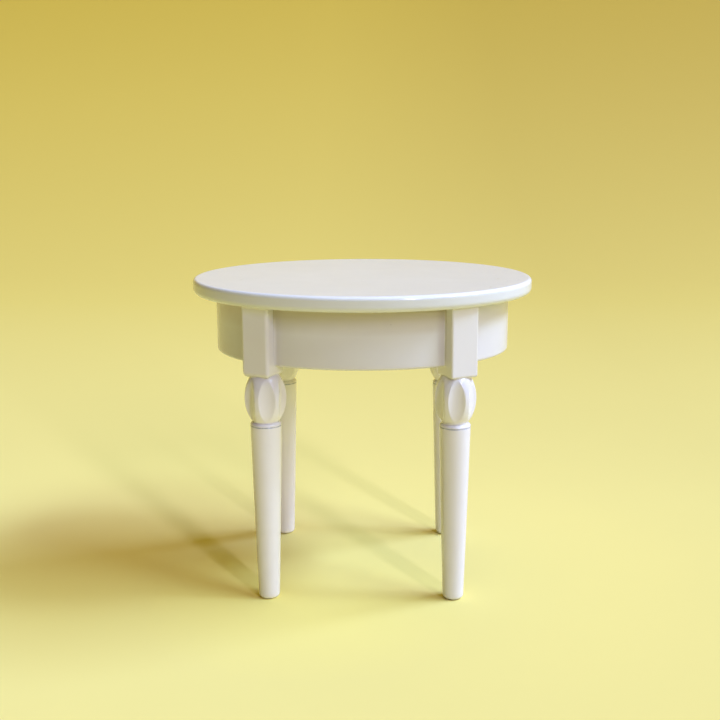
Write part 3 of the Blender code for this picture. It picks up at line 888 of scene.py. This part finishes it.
# ------------------------------------------------------- pegs and blocks
def build_peg(node):
    """A peg with eased ends and eight grooves pressed along it."""
    start, end, radius = peg_line(node)
    length = (end - start).length
    turn = (end - start).to_track_quat("Z", "Y").to_matrix()
    ease = 0.14 * MM
    grooves, groove_depth = 8, 0.035 * MM
    sides = 64
    # (radius, distance along the peg)
    rows = [(radius - ease, 0.0), (radius - ease * 0.4, ease * 0.3), (radius, ease)]
    rows += [(radius, ease + (length - 2 * ease) * share) for share in (0.33, 0.66)]
    rows += [(radius, length - ease), (radius - ease * 0.4, length - ease * 0.3),
             (radius - ease, length)]
    rings = []
    for row_radius, z in rows:
        ring = []
        for k in range(sides):
            a = TAU * k / sides
            reach = row_radius - groove_depth * (0.5 - 0.5 * math.cos(grooves * a)) ** 3
            ring.append(start + turn @ Vector((reach * math.cos(a), reach * math.sin(a), z)))
        rings.append(ring)
    finish_piece(ring_solid("beech_" + node, rings), BEECH, node)


def build_block(node):
    """A small glue block: eased, painted and slightly uneven at its lower end."""
    low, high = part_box(node)
    centre = (high + low) / 2
    bm = box_bmesh(high - low, centre)
    for vert in bm.verts:
        if vert.co.z < centre.z:
            skew = Vector((fbm(vert.co, 3 * MM, 11.0), fbm(vert.co, 3 * MM, 12.0), 0.0))
            vert.co += skew * 0.10 * MM
    bmesh.ops.bevel(bm, geom=bm.edges[:], offset=0.28 * MM, segments=5,
                    profile=0.5, affect="EDGES")
    name = "painted_" + node
    obj = add_object(name, bmesh_to_mesh(name, bm))
    finish_piece(obj, BLOCK_PAINT, node)


for node in sorted(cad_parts):
    if node.startswith(("rail_peg_", "top_peg_")):
        build_peg(node)
    elif node.startswith("glue_block_"):
        build_block(node)


# ------------------------------------------------------------ paper sweep
# paper colour near the table; the mid and far colours are painted shade, deeper and darker
# towards the back
NEAR_COLOUR = (0.90, 0.805, 0.270)
MID_SHADED_COLOUR = (0.79, 0.66, 0.160)
FAR_SHADED_COLOUR = (0.61, 0.43, 0.054)
SWEEP_REACH = 4.0                 # how far it runs to the front, left and right
SWEEP_START, SWEEP_RADIUS = 0.42, 0.75
SWEEP_RISE = math.radians(62.0)


def sweep_paper():
    """Yellow paper with painted shade: deeper in colour towards the back, and a little darker
    to the right.
    """
    material, n, shader, coord = start_material("pale_yellow_paper")
    tone = n.ramp(n.noise(coord, scale=9.0), low=0.3, high=0.7)
    paper = n.mix(tone, NEAR_COLOUR, tuple(c * 0.98 for c in NEAR_COLOUR))
    place = n.axes(coord)
    paper = n.mix(n.ramp(place["Y"], low=0.04, high=0.36), paper, MID_SHADED_COLOUR)
    paper = n.mix(n.ramp(place["Y"], low=0.36, high=0.95), paper, FAR_SHADED_COLOUR)
    # a little darker towards the right
    fade = n.ramp(place["X"], low=-0.05, high=0.10)
    paper = n.mix(fade, paper, (0.905, 0.89, 0.87), "MULTIPLY")
    # behind the table it is paler on the left
    uneven = n.mix(n.ramp(place["X"], low=-0.35, high=0.35),
                   (1.20, 1.22, 1.25), (0.95, 0.93, 1.04))
    paper = n.mix(n.ramp(place["Y"], low=0.10, high=0.80), paper,
                  n.mix(1.0, paper, uneven, "MULTIPLY"))
    # painted light: a paler patch lifting the shadow between the front feet
    patch = n.ramp(n.distance(coord, (-0.010, -0.020, 0.0)),
                   low=0.010, high=0.036, out_low=1.0, out_high=0.0)
    paper = n.mix(patch, paper, (1.08, 1.075, 0.97), "MULTIPLY")
    n.fill(shader.inputs["Base Color"], paper)
    shader.inputs["Roughness"].default_value = 0.9
    shader.inputs["Specular IOR Level"].default_value = 0.2
    tooth = n.times(n.noise(coord, scale=1600.0, roughness=0.6), 0.004 * MM)
    n.fill(shader.inputs["Normal"], n.bump(tooth))
    return material


def build_sweep():
    """A plain paper sweep: flat under the table, curving up well behind it."""
    # (y, z) from the front: flat, arc, straight slope
    profile = [(-SWEEP_REACH + 0.1 * k, 0.0) for k in range(44)] + [(SWEEP_START, 0.0)]
    for a in np.linspace(0.0, SWEEP_RISE, 48)[1:]:
        profile.append((SWEEP_START + SWEEP_RADIUS * math.sin(a),
                        SWEEP_RADIUS * (1 - math.cos(a))))
    arc_y, arc_z = profile[-1]
    for k in range(1, 6):
        profile.append((arc_y + 0.06 * k * math.cos(SWEEP_RISE),
                        arc_z + 0.06 * k * math.sin(SWEEP_RISE)))
    bm = bmesh.new()
    columns = np.linspace(-SWEEP_REACH, SWEEP_REACH, 33)
    grid = [[bm.verts.new((x, y, z)) for x in columns] for y, z in profile]
    for i in range(len(profile) - 1):
        for j in range(len(columns) - 1):
            bm.faces.new((grid[i][j], grid[i][j + 1], grid[i + 1][j + 1], grid[i + 1][j]))
    mesh = bmesh_to_mesh("paper_sweep", bm)
    mesh.shade_smooth()
    obj = add_object("paper_sweep", mesh)
    obj.location.z = -0.02 * MM
    mesh.materials.append(sweep_paper())


build_sweep()

# ----------------------------------------------------------------- lights
LIGHT_DISTANCE = 3.0
LIGHT_AIM = Vector((0.0, 0.0, 0.03))


def softbox(name, *, azimuth, elevation, half_wide, half_tall, power, colour):
    """A rectangular light aimed at the table, sized by the angle it spans.

    Angles are in degrees; azimuth runs from the front (-Y) towards the right (+X).
    """
    data = bpy.data.lights.new(name, "AREA")
    data.shape = "RECTANGLE"
    data.size = 2 * LIGHT_DISTANCE * math.tan(math.radians(half_wide))
    data.size_y = 2 * LIGHT_DISTANCE * math.tan(math.radians(half_tall))
    data.energy = power
    data.color = colour
    obj = add_object(name, data)
    a, e = math.radians(azimuth), math.radians(elevation)
    towards = Vector((math.sin(a) * math.cos(e), -math.cos(a) * math.cos(e), math.sin(e)))
    obj.location = towards * LIGHT_DISTANCE + LIGHT_AIM
    obj.rotation_euler = towards.to_track_quat("Z", "Y").to_euler()
    obj.visible_camera = False


# a long soft key high on the right, in two parts
softbox("key_near", azimuth=99.0, elevation=46.0, half_wide=13.0, half_tall=6.5,
        power=92.0, colour=(0.410, 0.520, 1.000))
softbox("key_far", azimuth=73.0, elevation=46.5, half_wide=13.5, half_tall=6.5,
        power=59.0, colour=(0.555, 0.740, 1.000))
# a slim upright light at the front right
softbox("front_strip", azimuth=30.0, elevation=26.0, half_wide=1.7, half_tall=13.0,
        power=36.0, colour=(0.625, 0.600, 0.985))

# ------------------------------------------------------------------- room
# Dark on the left and in front, warm bounce on the right and behind, a pale
# ceiling. Eight colours round each band of height: back, back left, left,
# front left, front, front right, right, back right.
LOW = ((0.53, 0.40, 0.03), (0.15, 0.10, 0.01), (0.0, 0.0, 0.0), (0.0, 0.0, 0.0),
       (0.0, 0.0, 0.0), (0.0, 0.02, 0.02), (0.04, 0.03, 0.0), (0.28, 0.18, 0.01))
MIDDLE = ((1.10, 0.85, 0.06), (0.08, 0.05, 0.0), (0.0, 0.0, 0.0), (0.0, 0.0, 0.0),
          (0.0, 0.0, 0.0), (0.04, 0.03, 0.02), (0.60, 0.34, 0.0), (0.80, 0.56, 0.08))
HIGH = ((0.38, 0.18, 0.0), (0.06, 0.0, 0.0), (0.04, 0.0, 0.0), (0.0, 0.0, 0.02),
        (0.25, 0.16, 0.18), (0.20, 0.10, 0.02), (0.12, 0.06, 0.05), (0.30, 0.18, 0.03))
CEILING = (1.12, 0.90, 0.30)
ROOM_STRENGTH = 2.0


def room_band(w, share, colours):
    """Colours spread evenly round the room, closing on the first."""
    ramp = w.add("ShaderNodeValToRGB", {0: share})
    stops = ramp.color_ramp.elements
    while len(stops) > 1:
        stops.remove(stops[-1])
    for k, colour in enumerate((*colours, colours[0])):
        position = k / len(colours)
        stop = stops[0] if k == 0 else stops.new(position)
        stop.position = position
        stop.color = (*(c / ROOM_STRENGTH for c in colour), 1.0)
    return ramp.outputs[0]


def build_room():
    world = bpy.data.worlds.new("studio")
    scene.world = world
    world.use_nodes = True
    w = Nodes(world.node_tree)
    out = w.add("ShaderNodeOutputWorld")
    background = w.add("ShaderNodeBackground")
    w.link(background.outputs[0], out.inputs[0])
    way = w.axes(w.add("ShaderNodeTexCoord").outputs["Generated"])
    height = w.math("ARCSINE", way["Z"])
    azimuth = w.math("ARCTAN2", way["X"], w.times(way["Y"], -1.0))
    share = w.math("ADD", w.math("DIVIDE", azimuth, TAU), 0.5, clamp=True)

    def blend(low, high):
        """Runs from 0 to 1 between two elevations in degrees."""
        return w.ramp(height, math.radians(low), math.radians(high))

    room = w.mix(blend(6.0, 22.0), room_band(w, share, LOW), room_band(w, share, MIDDLE))
    room = w.mix(blend(30.0, 46.0), room, room_band(w, share, HIGH))
    room = w.mix(blend(58.0, 74.0), room, tuple(c / ROOM_STRENGTH for c in CEILING))
    # looked at directly the room is a plain pale wall
    seen = w.add("ShaderNodeLightPath").outputs["Is Camera Ray"]
    wall = w.mix(w.ramp(height, low=0.0, high=1.2), (0.40, 0.355, 0.16), (0.36, 0.33, 0.19))
    w.fill(background.inputs[0], w.mix(seen, room, wall))
    background.inputs[1].default_value = ROOM_STRENGTH


build_room()

# ----------------------------------------------------------------- camera
CAMERA_PLACE = Vector((5.88944, -242.21251, 96.32848)) * MM
CAMERA_YAW = -0.02640        # radians from +Y towards +X
CAMERA_PITCH = 0.20843       # radians down from level
CAMERA_ROLL = -0.00425       # radians
SENSOR_WIDTH, LENS = 36.0, 58.715755     # in millimetres


def build_camera():
    data = bpy.data.cameras.new("camera")
    data.sensor_width = SENSOR_WIDTH
    data.lens = LENS
    data.clip_start, data.clip_end = 0.005, 12.0
    camera = add_object("camera", data)
    forward = Vector((math.sin(CAMERA_YAW) * math.cos(CAMERA_PITCH),
                      math.cos(CAMERA_YAW) * math.cos(CAMERA_PITCH),
                      -math.sin(CAMERA_PITCH)))
    level = Vector((math.cos(CAMERA_YAW), -math.sin(CAMERA_YAW), 0.0))
    up = level.cross(forward)
    across = level * math.cos(CAMERA_ROLL) + up * math.sin(CAMERA_ROLL)
    upward = up * math.cos(CAMERA_ROLL) - level * math.sin(CAMERA_ROLL)
    turn = Matrix((across, upward, -forward)).transposed().to_4x4()
    camera.matrix_world = Matrix.Translation(CAMERA_PLACE) @ turn
    scene.camera = camera


build_camera()
scene.view_settings.view_transform = "Standard"
scene.view_settings.look = "None"
